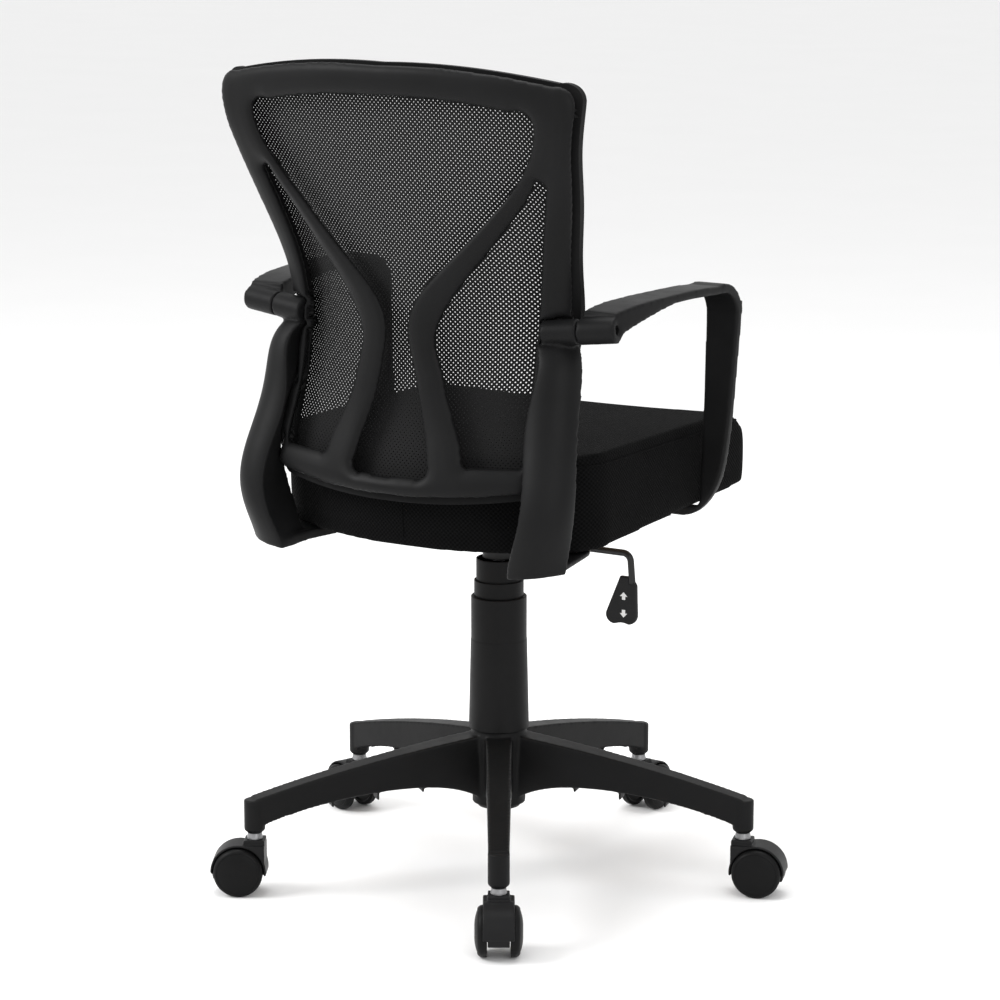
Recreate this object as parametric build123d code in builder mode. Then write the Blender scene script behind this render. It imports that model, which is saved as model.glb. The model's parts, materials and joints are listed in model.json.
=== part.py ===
"""Swivel office chair: five-star base on twin-wheel casters, gas lift with telescopic sleeves,
tilt mechanism, padded seat, two arm loops and a framed mesh back.

Millimetres, +Z up.  The origin is on the floor, on the axis of the gas lift.
The sitter faces -Y; the sitter's right-hand side is -X.
"""

import os
from math import cos, radians, sin, sqrt, tan

from build123d import *

os.makedirs("parts", exist_ok=True)


def write(shape, label):
    """Label a finished piece and write it as one STEP file."""
    shape.label = label
    export_step(shape, f"parts/{label}.step")


# ---------------------------------------------------------------- driving dimensions
FIT = 0.05                      # radial clearance of a running fit

# Casters
LEG_COUNT = 5
FIRST_LEG_ANGLE = 121.6         # direction of leg 1, degrees from +X
STEM_CIRCLE_R = 298.5           # caster stems stand on this circle
WHEEL_R = 28.75
WHEEL_W = 14.0
WHEEL_GAP = 26.0                # between the two wheels of one caster
TRAIL = 18.5                    # axle behind the stem
CASTER_TURN = (0.0, 5.0, 0.0, 0.0, -20.0)   # each caster stands turned from its leg, degrees
AXLE_R = 3.0
STEM_R = 5.5
STEM_TOP = 106.0
HOOD_R = 32.5
HOOD_HALF_W = 17.7
COLLAR_HALF_W = 12.2            # neck of the hood, round the stem
COLLAR_BASE = 60.5
HOOD_TOP = 66.0

# Star base
HUB_R = 31.4
HUB_TOP_R = 34.0
HUB_BOTTOM = 84.0
HUB_TOP = 178.0
SOCKET_R = 12.3
SOCKET_BOTTOM = 73.5
SOCKET_CHAMFER = 3.5
LEG_TIP_TOP = 112.0
LEG_ROOT_W = 31.0
LEG_TIP_W = 23.0
LEG_WALL = 3.2
LEG_START = 22.0                # legs grow out of the hub from here

# Gas lift
COLUMN_R = 25.0
COLUMN_BOTTOM = 80.0
COLUMN_TOP = 330.0
COLUMN_WALL = 2.0
TUBE_R = 14.0                   # pressure tube
TUBE_BORE_R = 12.6
TUBE_BOTTOM = 130.0
TUBE_TOP = 399.0
ROD_R = 5.0                     # piston rod
ROD_TOP = 300.0

# Telescopic sleeves
LOWER_SLEEVE = (176.0, 335.0)   # bottom and top heights
MIDDLE_SLEEVE = (200.0, 354.0)
UPPER_SLEEVE = (228.0, 380.0)
LOWER_SLEEVE_R = (35.6, 32.8)   # radius at the bottom and at the top
MIDDLE_SLEEVE_R = 29.2
UPPER_SLEEVE_R = 26.7

# Seat
SEAT_HALF_W = 207.0
SEAT_FRONT = -236.0
SEAT_CORNER_R = 32.0            # front corners in plan
SEAT_REAR = 204.0
SEAT_BOTTOM = 441.5             # underside at Y = 0
SEAT_SLOPE = 3.15               # underside rises towards the front, degrees
SEAT_TOP_SIDE = 545.0
SEAT_TOP_MID = 537.0
BOARD_T = 12.0
BOARD_INSET = 22.0

# Tilt mechanism
PIVOT_Y = -42.0
PIVOT_Z = 409.0
HOUSING_HALF_W = 58.0
HOUSING_WALL = 2.5
HOUSING_BOTTOM = 384.0
BOSS_BOTTOM = 381.0             # socket for the gas lift, under the tray
LEVER_Y = -15.0
LEVER_Z = 401.0
LEVER_R = 3.9
LEVER_PIVOT_X = -62.0

# Back: heights of its cross-sections, each with the depth at mid-width, the forward sweep of the
# rear surface at SWEEP_X from the middle, and how much the stiles beyond STILE_X turn back again
SWEEP_X = 200.0
STILE_X = 150.0
BACK_SECTIONS = [
    (470.0, 256.0, 42.0, 0.0),
    (500.0, 246.0, 44.0, 0.0),
    (535.0, 238.0, 47.0, 0.0),
    (575.0, 227.0, 52.0, 0.001),
    (640.0, 220.0, 74.0, 0.003),
    (700.0, 222.0, 88.0, 0.0045),
    (770.0, 232.0, 73.0, 0.0052),
    (830.0, 243.0, 50.0, 0.0027),
    (885.0, 250.5, 31.0, 0.0015),
    (940.0, 256.0, 23.0, 0.0),
    (990.0, 260.0, 19.0, 0.0),
]
BACK_REACH = 246.0              # half-width that the shell is made to before it is trimmed
BACK_STEPS = 16                 # points along each cross-section
FRAME_T = 17.0
RIM_T = 8.0                     # mesh frame, in front of the back frame
MESH_T = 2.0
GAP = 0.3                       # left between the layers of the back

# Arms
TUBE_AXIS_Y = 156.0
TUBE_AXIS_Z = 684.0             # at the seam between bracket and arm
ARM_TUBE_R = 14.5
SEAM_X = 199.0
ARM_END_X = 242.5
TUBE_RISE = 5.5                 # the tube climbs outwards, degrees
TUBE_SWEEP = 9.0                # and leans forwards, degrees
ARM_BOLT_R = 4.0
ARM_BOLT_HEAD_R = 5.5
ARM_BOLT_SINK = 14.0            # depth of the hole that its head sits in
ARM_BOLT_BITE = 25.0            # length of thread in the bracket
LEG_REAR_Y = -97.0
LEG_FRONT_Y = -109.0


# ---------------------------------------------------------------- star base
with BuildPart() as leg:
    with BuildSketch(Plane.XZ):
        with BuildLine():
            Spline((LEG_START, 170), (125, 154), (246, 128.5), (STEM_CIRCLE_R, LEG_TIP_TOP + 3))
            Line((STEM_CIRCLE_R, LEG_TIP_TOP + 3), (STEM_CIRCLE_R, 79))
            Spline(
                (STEM_CIRCLE_R, 79), (266, 90), (205, 103.5), (150, 110), (100, 111), (60, 106),
                (LEG_START, 90),
            )
            Line((LEG_START, 90), (LEG_START, 170))
        make_face()
    extrude(amount=LEG_ROOT_W, both=True)
    with BuildSketch(Plane.XY.offset(60)):
        with BuildLine():
            Polyline(
                (LEG_START, -LEG_ROOT_W / 2), (STEM_CIRCLE_R, -LEG_TIP_W / 2),
                (STEM_CIRCLE_R, LEG_TIP_W / 2), (LEG_START, LEG_ROOT_W / 2), close=True,
            )
        make_face()
    extrude(amount=130, mode=Mode.INTERSECT)
    top_edges = leg.edges().filter_by(Axis.Z, reverse=True).group_by(SortBy.LENGTH)[-1].group_by(Axis.Z)[-1]
    fillet(top_edges, 4)
    # Hollow underside between the hub and the caster socket
    with BuildSketch(Plane.XZ):
        with BuildLine():
            Polyline(
                (44, 70), (44, 150), (120, 148 - LEG_WALL), (240, 124 - LEG_WALL),
                (STEM_CIRCLE_R - SOCKET_R - 1, 110 - LEG_WALL), (STEM_CIRCLE_R - SOCKET_R - 1, 70),
                close=True,
            )
        make_face()
    extrude(amount=LEG_TIP_W / 2 - LEG_WALL, both=True, mode=Mode.SUBTRACT)
    # Cross ribs inside the channel
    for rib_x in (95, 150, 205, 255):
        with BuildSketch(Plane.YZ.offset(rib_x)):
            with Locations((0, 112 - 0.08 * (rib_x - 95))):
                Rectangle(LEG_TIP_W - LEG_WALL, 14)
        extrude(amount=2.5)

with BuildPart() as star_base:
    with BuildSketch(Plane.XZ):
        with BuildLine():
            Polyline(
                (0, HUB_BOTTOM), (HUB_R, HUB_BOTTOM), (HUB_R + 0.6, 130), (HUB_TOP_R, HUB_TOP - 12),
                (HUB_TOP_R - 3, HUB_TOP - 2), (0, HUB_TOP - 2), close=True,
            )
        make_face()
    revolve(axis=Axis.Z)
    with PolarLocations(0, LEG_COUNT, start_angle=FIRST_LEG_ANGLE):
        add(leg.part)
    with PolarLocations(STEM_CIRCLE_R, LEG_COUNT, start_angle=FIRST_LEG_ANGLE):
        with Locations((0, 0, SOCKET_BOTTOM)):
            Cone(
                SOCKET_R - SOCKET_CHAMFER, SOCKET_R, SOCKET_CHAMFER,
                align=(Align.CENTER, Align.CENTER, Align.MIN),
            )
        with Locations((0, 0, SOCKET_BOTTOM + SOCKET_CHAMFER)):
            Cylinder(
                SOCKET_R, LEG_TIP_TOP - SOCKET_BOTTOM - SOCKET_CHAMFER + 1,
                align=(Align.CENTER, Align.CENTER, Align.MIN),
            )
    fillet(star_base.edges().filter_by(GeomType.CIRCLE).group_by(Axis.Z)[-2], 1.0)
    with PolarLocations(STEM_CIRCLE_R, LEG_COUNT, start_angle=FIRST_LEG_ANGLE):
        with Locations((0, 0, SOCKET_BOTTOM)):
            Cylinder(
                STEM_R + FIT, STEM_TOP - SOCKET_BOTTOM + 1,
                align=(Align.CENTER, Align.CENTER, Align.MIN), mode=Mode.SUBTRACT,
            )
    with Locations((0, 0, HUB_BOTTOM - 1)):
        Cylinder(COLUMN_R, 200, align=(Align.CENTER, Align.CENTER, Align.MIN), mode=Mode.SUBTRACT)
write(star_base.part, "star_base")


# ---------------------------------------------------------------- casters
# Drawn with the stem on the Z axis, the wheels trailing towards +X, then set on each leg.
WHEEL_IN = WHEEL_GAP / 2
WHEEL_OUT = WHEEL_IN + WHEEL_W
HOOD_CLEARANCE = 1.4
STEM_BOTTOM = 44.0

with BuildPart() as caster_stem:
    with BuildSketch(Plane.XZ):
        with BuildLine():
            Polyline(
                (0, STEM_BOTTOM), (STEM_R, STEM_BOTTOM), (STEM_R, HOOD_TOP + 0.4),
                (9.2, HOOD_TOP + 0.4), (9.2, HOOD_TOP + 2.4),
                (8.2, SOCKET_BOTTOM - 0.5), (STEM_R, SOCKET_BOTTOM - 0.5), (STEM_R, STEM_TOP - 1.5),
                (STEM_R - 1.5, STEM_TOP), (0, STEM_TOP), close=True,
            )
        make_face()
    revolve(axis=Axis.Z)

with BuildPart() as caster_hood:
    # Fender over the inner half of both wheels
    with BuildSketch(Plane.XZ):
        with Locations((TRAIL, WHEEL_R)):
            Circle(HOOD_R)
        with Locations((0, (COLLAR_BASE + WHEEL_R) / 2)):
            Rectangle(2 * COLLAR_HALF_W, COLLAR_BASE - WHEEL_R)
    extrude(amount=HOOD_HALF_W, both=True)
    fillet(caster_hood.edges().filter_by(Plane.XZ), 1.2)
    with BuildSketch(Plane.XZ):
        with Locations((TRAIL, WHEEL_R)):
            Circle(WHEEL_R + HOOD_CLEARANCE)
    extrude(amount=HOOD_HALF_W + 2, both=True, mode=Mode.SUBTRACT)
    # Front lip ends above the floor, rear edge is cut back on a slant
    with BuildSketch(Plane.XZ):
        with BuildLine():
            Polyline(
                (-60, -40), (90, -40), (90, WHEEL_R + 2), (TRAIL + HOOD_R, WHEEL_R), (TRAIL + 23, 19),
                (TRAIL, 24.5), (-60, 24.5), close=True,
            )
        make_face()
    extrude(amount=60, both=True, mode=Mode.SUBTRACT)
    # Web between the wheels, which holds the stem and the axle
    with BuildSketch(Plane.XZ):
        with Locations((TRAIL, WHEEL_R)):
            Circle(HOOD_R - 1.5)
        with Locations((0, (HOOD_TOP + WHEEL_R) / 2)):
            RectangleRounded(2 * COLLAR_HALF_W, HOOD_TOP - WHEEL_R, 1.5)
    extrude(amount=WHEEL_IN - 0.8, both=True)
    with BuildSketch(Plane.XZ):
        with BuildLine():
            Polyline(
                (-60, -40), (90, -40), (90, 19), (TRAIL + 23, 19), (TRAIL, 15), (TRAIL - 20, 24.5),
                (-60, 24.5), close=True,
            )
        make_face()
    extrude(amount=60, both=True, mode=Mode.SUBTRACT)
    with BuildSketch(Plane.XZ):
        with Locations((TRAIL, WHEEL_R)):
            Circle(AXLE_R)
    extrude(amount=60, both=True, mode=Mode.SUBTRACT)
    with Locations((0, 0, STEM_BOTTOM)):
        Cylinder(STEM_R, 40, align=(Align.CENTER, Align.CENTER, Align.MIN), mode=Mode.SUBTRACT)

with BuildPart() as caster_axle:
    with BuildSketch(Plane.XZ):
        with Locations((TRAIL, WHEEL_R)):
            Circle(AXLE_R)
    extrude(amount=WHEEL_OUT - 4, both=True)

with BuildPart() as caster_wheel:
    # Profile in the plane of the axle: radius against distance along the axle
    with BuildSketch(Plane.XY):
        with BuildLine():
            Polyline(
                (AXLE_R + FIT, WHEEL_IN), (10, WHEEL_IN), (12, WHEEL_IN + 2), (WHEEL_R - 6, WHEEL_IN + 2),
                (WHEEL_R - 4, WHEEL_IN), (WHEEL_R - 1, WHEEL_IN),
            )
            ThreePointArc((WHEEL_R - 1, WHEEL_IN), (WHEEL_R - 0.3, WHEEL_IN + 0.3), (WHEEL_R, WHEEL_IN + 1))
            Line((WHEEL_R, WHEEL_IN + 1), (WHEEL_R, WHEEL_OUT - 8))
            ThreePointArc(
                (WHEEL_R, WHEEL_OUT - 8), (WHEEL_R - 1.1, WHEEL_OUT - 5.4),
                (WHEEL_R - 4, WHEEL_OUT - 3.2),
            )
            Line((WHEEL_R - 4, WHEEL_OUT - 3.2), (WHEEL_R - 4.5, WHEEL_OUT - 3.6))
            ThreePointArc((WHEEL_R - 4.5, WHEEL_OUT - 3.6), (17, WHEEL_OUT - 1.2), (8, WHEEL_OUT))
            Polyline(
                (8, WHEEL_OUT), (0, WHEEL_OUT), (0, WHEEL_OUT - 4), (AXLE_R + FIT, WHEEL_OUT - 4),
                (AXLE_R + FIT, WHEEL_IN),
            )
        make_face()
    revolve(axis=Axis.Y)

WHEEL_PLACE = Location((TRAIL, 0, WHEEL_R))
for number in range(1, LEG_COUNT + 1):
    leg_angle = FIRST_LEG_ANGLE + (number - 1) * 360 / LEG_COUNT
    turn = CASTER_TURN[number - 1]
    place = Location((0, 0, 0), (0, 0, leg_angle)) * Location((STEM_CIRCLE_R, 0, 0), (0, 0, turn))
    write(caster_stem.part.moved(place), f"caster_stem_{number}")
    write(caster_hood.part.moved(place), f"caster_hood_{number}")
    write(caster_axle.part.moved(place), f"caster_axle_{number}")
    left_wheel = caster_wheel.part.moved(place * WHEEL_PLACE)
    right_wheel = mirror(caster_wheel.part, about=Plane.XZ).moved(place * WHEEL_PLACE)
    write(left_wheel, f"caster_wheel_left_{number}")
    write(right_wheel, f"caster_wheel_right_{number}")


# ---------------------------------------------------------------- gas lift
with BuildPart() as column_tube:
    with Locations((0, 0, COLUMN_BOTTOM)):
        Cylinder(COLUMN_R, COLUMN_TOP - COLUMN_BOTTOM, align=(Align.CENTER, Align.CENTER, Align.MIN))
    with Locations((0, 0, COLUMN_BOTTOM + 4)):
        Cylinder(
            COLUMN_R - COLUMN_WALL, 260, align=(Align.CENTER, Align.CENTER, Align.MIN),
            mode=Mode.SUBTRACT,
        )
    with Locations((0, 0, COLUMN_BOTTOM - 1)):
        Cylinder(ROD_R, 10, align=(Align.CENTER, Align.CENTER, Align.MIN), mode=Mode.SUBTRACT)
write(column_tube.part, "column_tube")

with BuildPart() as guide_bush:
    with Locations((0, 0, COLUMN_TOP - 75)):
        Cylinder(COLUMN_R - COLUMN_WALL, 75, align=(Align.CENTER, Align.CENTER, Align.MIN))
        Cylinder(TUBE_R + FIT, 75, align=(Align.CENTER, Align.CENTER, Align.MIN), mode=Mode.SUBTRACT)
    with Locations((0, 0, COLUMN_TOP)):
        Cylinder(COLUMN_R, 2.5, align=(Align.CENTER, Align.CENTER, Align.MIN))
        Cylinder(TUBE_R + FIT, 2.5, align=(Align.CENTER, Align.CENTER, Align.MIN), mode=Mode.SUBTRACT)
write(guide_bush.part, "guide_bush")

with BuildPart() as piston_rod:
    with Locations((0, 0, COLUMN_BOTTOM - 4)):
        Cylinder(ROD_R, ROD_TOP - COLUMN_BOTTOM, align=(Align.CENTER, Align.CENTER, Align.MIN))
    with Locations((0, 0, ROD_TOP - 12)):
        Cylinder(TUBE_BORE_R - FIT, 12, align=(Align.CENTER, Align.CENTER, Align.MIN))
    with Locations((0, 0, COLUMN_BOTTOM - 2.6)):
        Cylinder(ROD_R, 1.2, align=(Align.CENTER, Align.CENTER, Align.MIN), mode=Mode.SUBTRACT)
        Cylinder(ROD_R - 1, 1.2, align=(Align.CENTER, Align.CENTER, Align.MIN))
write(piston_rod.part, "piston_rod")

with BuildPart() as rod_clip:
    with Locations((0, 0, COLUMN_BOTTOM - 2.6)):
        Cylinder(ROD_R + 4, 1.2, align=(Align.CENTER, Align.CENTER, Align.MIN))
        Cylinder(ROD_R - 1, 1.2, align=(Align.CENTER, Align.CENTER, Align.MIN), mode=Mode.SUBTRACT)
    with BuildSketch(Plane.XY.offset(COLUMN_BOTTOM - 3)):
        with Locations((8, 0)):
            Rectangle(12, 4)
    extrude(amount=3, mode=Mode.SUBTRACT)
write(rod_clip.part, "rod_clip")

with BuildPart() as thrust_bearing:
    with Locations((0, 0, COLUMN_BOTTOM + 4)):
        Cylinder(13, 6, align=(Align.CENTER, Align.CENTER, Align.MIN))
        Cylinder(ROD_R, 6, align=(Align.CENTER, Align.CENTER, Align.MIN), mode=Mode.SUBTRACT)
    with BuildSketch(Plane.XZ):
        with Locations((13, COLUMN_BOTTOM + 7)):
            Rectangle(3, 2)
    revolve(axis=Axis.Z, mode=Mode.SUBTRACT)
write(thrust_bearing.part, "thrust_bearing")

with BuildPart() as lower_sleeve:
    with BuildSketch(Plane.XZ):
        with BuildLine():
            Polyline(
                (LOWER_SLEEVE_R[0] - 2, LOWER_SLEEVE[0]), (LOWER_SLEEVE_R[0], LOWER_SLEEVE[0]),
                (LOWER_SLEEVE_R[1] + 0.4, 282), (LOWER_SLEEVE_R[1], 284),
                (LOWER_SLEEVE_R[1], LOWER_SLEEVE[1] - 1),
                (LOWER_SLEEVE_R[1] - 1, LOWER_SLEEVE[1]), (MIDDLE_SLEEVE_R + 0.6, LOWER_SLEEVE[1]),
                (MIDDLE_SLEEVE_R + 0.6, LOWER_SLEEVE[1] - 2), (LOWER_SLEEVE_R[1] - 2, LOWER_SLEEVE[1] - 4),
                close=True,
            )
        make_face()
    revolve(axis=Axis.Z)
write(lower_sleeve.part, "lower_sleeve")

for label, (bottom, top), radius, wall in (
    ("middle_sleeve", MIDDLE_SLEEVE, MIDDLE_SLEEVE_R, 1.5),
    ("upper_sleeve", UPPER_SLEEVE, UPPER_SLEEVE_R, 1.2),
):
    with BuildPart() as sleeve:
        with Locations((0, 0, bottom)):
            Cylinder(radius, top - bottom, align=(Align.CENTER, Align.CENTER, Align.MIN))
            Cylinder(
                radius - wall, top - bottom, align=(Align.CENTER, Align.CENTER, Align.MIN),
                mode=Mode.SUBTRACT,
            )
        fillet(sleeve.edges().group_by(Axis.Z)[-1].sort_by(SortBy.RADIUS)[-1], 0.8)
    write(sleeve.part, label)

with BuildPart() as pressure_tube:
    with Locations((0, 0, TUBE_BOTTOM)):
        Cylinder(TUBE_R, TUBE_TOP - TUBE_BOTTOM, align=(Align.CENTER, Align.CENTER, Align.MIN))
        Cylinder(TUBE_BORE_R, 225, align=(Align.CENTER, Align.CENTER, Align.MIN), mode=Mode.SUBTRACT)
    with Locations((0, 0, TUBE_TOP - 20)):
        Cylinder(3 + FIT, 40, align=(Align.CENTER, Align.CENTER, Align.MIN), mode=Mode.SUBTRACT)
    chamfer(pressure_tube.edges().group_by(Axis.Z)[-1].sort_by(SortBy.RADIUS)[-1], 1.0)
write(pressure_tube.part, "pressure_tube")

with BuildPart() as rod_seal:
    with Locations((0, 0, TUBE_BOTTOM)):
        Cylinder(TUBE_BORE_R, 14, align=(Align.CENTER, Align.CENTER, Align.MIN))
        Cylinder(ROD_R + FIT, 14, align=(Align.CENTER, Align.CENTER, Align.MIN), mode=Mode.SUBTRACT)
write(rod_seal.part, "rod_seal")

with BuildPart() as valve_button:
    with Locations((0, 0, TUBE_TOP - 12)):
        Cylinder(3, 17, align=(Align.CENTER, Align.CENTER, Align.MIN))
    fillet(valve_button.edges().group_by(Axis.Z)[-1], 1)
write(valve_button.part, "valve_button")


# ---------------------------------------------------------------- tilt mechanism
HOUSING_FRONT = -104.0
HOUSING_REAR = 46.0
with BuildPart() as mech_housing:
    # Folded tray, lower at the rear so that the plate above it can tip back
    with BuildSketch(Plane.YZ):
        with BuildLine():
            Polyline(
                (HOUSING_FRONT, HOUSING_BOTTOM + 6), (HOUSING_FRONT + 14, HOUSING_BOTTOM),
                (-8, HOUSING_BOTTOM),
                (HOUSING_REAR, 399), (HOUSING_REAR, 404), (20, 414), (PIVOT_Y + 12, 421), (PIVOT_Y - 14, 421),
                (HOUSING_FRONT, 417), close=True,
            )
        make_face()
    extrude(amount=HOUSING_HALF_W, both=True)
    fillet(mech_housing.edges().filter_by(Axis.X).group_by(Axis.Z)[0], 3)
    with BuildSketch(Plane.YZ):
        with BuildLine():
            Polyline(
                (HOUSING_FRONT + HOUSING_WALL, HOUSING_BOTTOM + 9),
                (HOUSING_FRONT + 15, HOUSING_BOTTOM + HOUSING_WALL),
                (-8, HOUSING_BOTTOM + HOUSING_WALL), (HOUSING_REAR - HOUSING_WALL, 401),
                (HOUSING_REAR - HOUSING_WALL, 440),
                (HOUSING_FRONT + HOUSING_WALL, 440), close=True,
            )
        make_face()
    extrude(amount=HOUSING_HALF_W - HOUSING_WALL, both=True, mode=Mode.SUBTRACT)
    # Taper socket for the gas lift
    with Locations((0, 0, BOSS_BOTTOM)):
        Cylinder(19, 17, align=(Align.CENTER, Align.CENTER, Align.MIN))
        Cylinder(TUBE_R, 60, align=(Align.CENTER, Align.CENTER, Align.MIN), mode=Mode.SUBTRACT)
    # Pivot pin holes, lever hole and tension bolt hole
    with BuildSketch(Plane.YZ):
        with Locations((PIVOT_Y, PIVOT_Z)):
            Circle(5)
    extrude(amount=HOUSING_HALF_W + 5, both=True, mode=Mode.SUBTRACT)
    with BuildSketch(Plane.YZ.offset(-HOUSING_HALF_W - 5)):
        with Locations((LEVER_Y, LEVER_Z)):
            Circle(9.2)
    extrude(amount=12, mode=Mode.SUBTRACT)
    with BuildSketch(Plane.XZ.offset(-HOUSING_FRONT - 5)):
        with Locations((0, 402)):
            Circle(5 + FIT)
    extrude(amount=12, mode=Mode.SUBTRACT)
write(mech_housing.part, "mech_housing")

with BuildPart() as pivot_pin:
    with BuildSketch(Plane.YZ):
        with Locations((PIVOT_Y, PIVOT_Z)):
            Circle(5)
    extrude(amount=HOUSING_HALF_W + 8, both=True)
    with BuildSketch(Plane.YZ):
        with Locations((PIVOT_Y, PIVOT_Z)):
            Circle(7.5)
    extrude(amount=HOUSING_HALF_W + 8, both=True)
    with BuildSketch(Plane.YZ):
        with Locations((PIVOT_Y, PIVOT_Z)):
            Circle(9)
            Circle(5, mode=Mode.SUBTRACT)
    extrude(amount=HOUSING_HALF_W + 5, both=True, mode=Mode.SUBTRACT)
write(pivot_pin.part, "pivot_pin")

with BuildPart() as lever_bush:
    with Locations((LEVER_PIVOT_X + 1.5, LEVER_Y, LEVER_Z)):
        Sphere(8.2)
        Box(12, 20, 20, mode=Mode.INTERSECT)
    with BuildSketch(Plane.YZ.offset(LEVER_PIVOT_X - 20)):
        with Locations((LEVER_Y, LEVER_Z)):
            Circle(LEVER_R + FIT)
    extrude(amount=40, mode=Mode.SUBTRACT)
write(lever_bush.part, "lever_bush")

LEVER_BEND_X = -168.0
LEVER_DROP = 366.0
with BuildPart() as lever_rod:
    with BuildLine() as lever_path:
        FilletPolyline(
            (10, LEVER_Y, 409), (-22, LEVER_Y, 409), (-38, LEVER_Y, LEVER_Z),
            (LEVER_BEND_X, LEVER_Y, LEVER_Z),
            (LEVER_BEND_X - 3, LEVER_Y, LEVER_DROP), radius=10,
        )
    with BuildSketch(Plane(origin=(10, LEVER_Y, 409), z_dir=(-1, 0, 0))):
        Circle(LEVER_R)
    sweep()
    # Flat tongue over the valve button
    with Locations((4, LEVER_Y / 2, 407)):
        Box(12, -LEVER_Y + 12, 3)
write(lever_rod.part, "lever_rod")

PADDLE_T = 7.0
with BuildPart() as lever_paddle:
    with BuildSketch(Plane.XZ.offset(-LEVER_Y - PADDLE_T / 2)):
        with BuildLine():
            Polyline((-156, 374), (-171, 374), (-177, 364), (-178, 330))
            ThreePointArc((-178, 330), (-175, 321), (-167, 317))
            ThreePointArc((-167, 317), (-159, 318.5), (-151, 317))
            ThreePointArc((-151, 317), (-141, 319), (-138, 331))
            Line((-138, 331), (-156, 374))
        make_face()
    extrude(amount=PADDLE_T)
    fillet(lever_paddle.edges().filter_by(Plane.XZ), 2)
    add(lever_rod.part, mode=Mode.SUBTRACT)
write(lever_paddle.part, "lever_paddle")

with BuildPart() as tension_knob:
    with BuildSketch(Plane.XZ.offset(-HOUSING_FRONT + 3)):
        with Locations((0, 402)):
            Circle(17)
    extrude(amount=22)
    fillet(tension_knob.edges().group_by(Axis.Y)[0], 3)
    # Finger grooves round the rim
    with BuildSketch(Plane.XZ.offset(-HOUSING_FRONT + 3)):
        with Locations((0, 402)):
            with PolarLocations(18.2, 10):
                Circle(2.6)
    extrude(amount=30, mode=Mode.SUBTRACT)
    # Bolt shank into the housing
    with BuildSketch(Plane.XZ.offset(-HOUSING_FRONT - 48)):
        with Locations((0, 402)):
            Circle(5)
    extrude(amount=52)
write(tension_knob.part, "tension_knob")

SPRING_COIL_R = 10.0
SPRING_WIRE_R = 2.0
SPRING_LENGTH = 34.0
with BuildPart() as tilt_spring:
    with BuildLine():
        spring_path = Helix(
            pitch=SPRING_LENGTH / 5, height=SPRING_LENGTH, radius=SPRING_COIL_R,
            center=(0, HOUSING_FRONT + HOUSING_WALL + 4, 402), direction=(0, 1, 0),
        )
    with BuildSketch(Plane(origin=spring_path @ 0, z_dir=spring_path % 0)):
        Circle(SPRING_WIRE_R)
    sweep()
write(tilt_spring.part, "tilt_spring")

# The seat and all it carries lean with the seat's underside
SLOPE = tan(radians(SEAT_SLOPE))
UNDERSIDE = Plane(
    origin=(0, 0, SEAT_BOTTOM), x_dir=(1, 0, 0),
    z_dir=(0, sin(radians(SEAT_SLOPE)), cos(radians(SEAT_SLOPE))),
)

# Pan-head screws that hold the plate, the arms' feet and the brackets' feet to the seat board.
# Each group: how far its screws reach into the board, how far their heads are below it, and places.
SCREW_R = 2.5
SCREW_HEAD_R = 4.6
SCREW_HEAD_T = 2.6
SCREW_BITE = 10.0
SCREW_GROUPS = [
    (3.0, [(80, -85), (80, 85)]),
    (14.0, [(140, -102), (168, -102)]),
    (15.0, [(124, 76), (152, 108)]),
]


def seat_screws(shank_only):
    """All the screws on the +X side of the seat, as one part."""
    with BuildPart(mode=Mode.PRIVATE) as screws:
        for depth, places in SCREW_GROUPS:
            with BuildSketch(UNDERSIDE.offset(-depth)):
                with Locations(*places):
                    Circle(SCREW_R)
            extrude(amount=depth + SCREW_BITE)
            if not shank_only:
                with BuildSketch(UNDERSIDE.offset(-depth)):
                    with Locations(*places):
                        Circle(SCREW_HEAD_R)
                extrude(amount=-SCREW_HEAD_T)
    return screws.part


shanks_left = seat_screws(True)
shanks_right = mirror(shanks_left, about=Plane.YZ)
screws_left = seat_screws(False)
write(Compound(children=[screws_left, mirror(screws_left, about=Plane.YZ)]), "seat_screws")

with BuildPart() as tilt_plate:
    with BuildSketch(UNDERSIDE):
        RectangleRounded(190, 200, 12)
    extrude(amount=-3)
    add(shanks_left, mode=Mode.SUBTRACT)
    add(shanks_right, mode=Mode.SUBTRACT)
    with BuildSketch(UNDERSIDE.offset(-3)):
        with Locations((0, PIVOT_Y - 5)):
            with GridLocations(2 * (HOUSING_HALF_W + 2.6), 0, 2, 1):
                Rectangle(3, 34)
    extrude(amount=-38)
    with BuildSketch(Plane.YZ):
        with Locations((PIVOT_Y, PIVOT_Z)):
            Circle(5 + FIT)
    extrude(amount=HOUSING_HALF_W + 8, both=True, mode=Mode.SUBTRACT)
write(tilt_plate.part, "tilt_plate")


# ---------------------------------------------------------------- seat
def seat_plan(inset):
    """Plan outline of the seat, drawn inside its full outline by inset."""
    side = SEAT_HALF_W - inset
    front = SEAT_FRONT + inset
    rear = SEAT_REAR - inset
    corner = SEAT_CORNER_R
    cut = corner * (1 - sqrt(0.5))
    with BuildSketch(Plane.XY.offset(380), mode=Mode.PRIVATE) as plan:
        with BuildLine():
            ThreePointArc((-side + 58, rear - 33), (0, rear), (side - 58, rear - 33))
            ThreePointArc((side - 58, rear - 33), (side - 18, rear - 56), (side, rear - 100))
            Line((side, rear - 100), (side, front + corner))
            ThreePointArc((side, front + corner), (side - cut, front + cut), (side - corner, front))
            ThreePointArc((side - corner, front), (0, front - 4), (-side + corner, front))
            ThreePointArc((-side + corner, front), (-side + cut, front + cut), (-side, front + corner))
            Line((-side, front + corner), (-side, rear - 100))
            ThreePointArc((-side, rear - 100), (-side + 18, rear - 56), (-side + 58, rear - 33))
        make_face()
    return plan.sketch


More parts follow.
